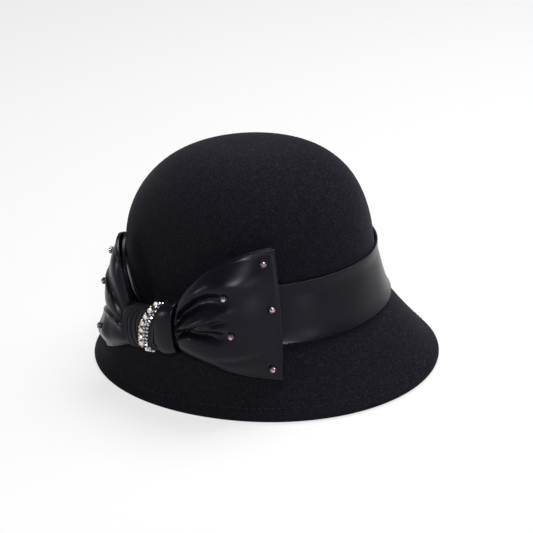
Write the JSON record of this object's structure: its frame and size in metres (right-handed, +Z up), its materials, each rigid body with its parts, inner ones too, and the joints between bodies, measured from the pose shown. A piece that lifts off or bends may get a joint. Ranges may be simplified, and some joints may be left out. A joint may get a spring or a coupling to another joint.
{
  "type": "bowler hat",
  "caption": "Rounded felt hat with a turned-down brim, a smooth folded band and a large side bow with a stone-trimmed knot.",
  "frame": {"origin": "centre of the head opening, on the plane that the brim's edge rests on", "axes": "+Z up through the crown, -Y towards the front of the hat, -X towards the wearer's right, where the bow is"},
  "size_m": [0.2187, 0.2687, 0.1661],
  "materials": {
    "wool_felt": "dense matt black wool felt with a short nap",
    "soft_leather": "smooth soft-gloss black faux leather",
    "ribbed_ribbon": "black ribbed ribbon",
    "sewing_thread": "black sewing thread",
    "trim_mesh": "black mesh tape",
    "steel_wire": "bright drawn wire",
    "crystal": "clear cut glass with a mirrored back",
    "gold_metal": "polished gold-coloured beads",
    "silver_metal": "polished silver-coloured beads",
    "dark_metal": "dark polished claw settings"
  },
  "bodies": {
    "root": {"felt_hood": "wool_felt", "brim_wire": "steel_wire", "hem_stitching": "sewing_thread", "sweatband": "ribbed_ribbon", "sweatband_stitching": "sewing_thread", "hat_band": "soft_leather", "band_join_stitches": "sewing_thread", "bow_backing": "wool_felt", "bow_tack_stitches": "sewing_thread", "bow_front_loop": "soft_leather", "bow_back_loop": "soft_leather", "gather_thread": "sewing_thread", "knot_wrap": "soft_leather", "knot_cuff": "soft_leather", "trim_tape": "trim_mesh", "trim_crystals": "crystal", "trim_gold_beads": "gold_metal", "trim_silver_beads": "silver_metal", "front_loop_crystals": "crystal", "front_loop_settings": "dark_metal", "back_loop_crystals": "crystal", "back_loop_settings": "dark_metal"}
  },
  "joints": []
}
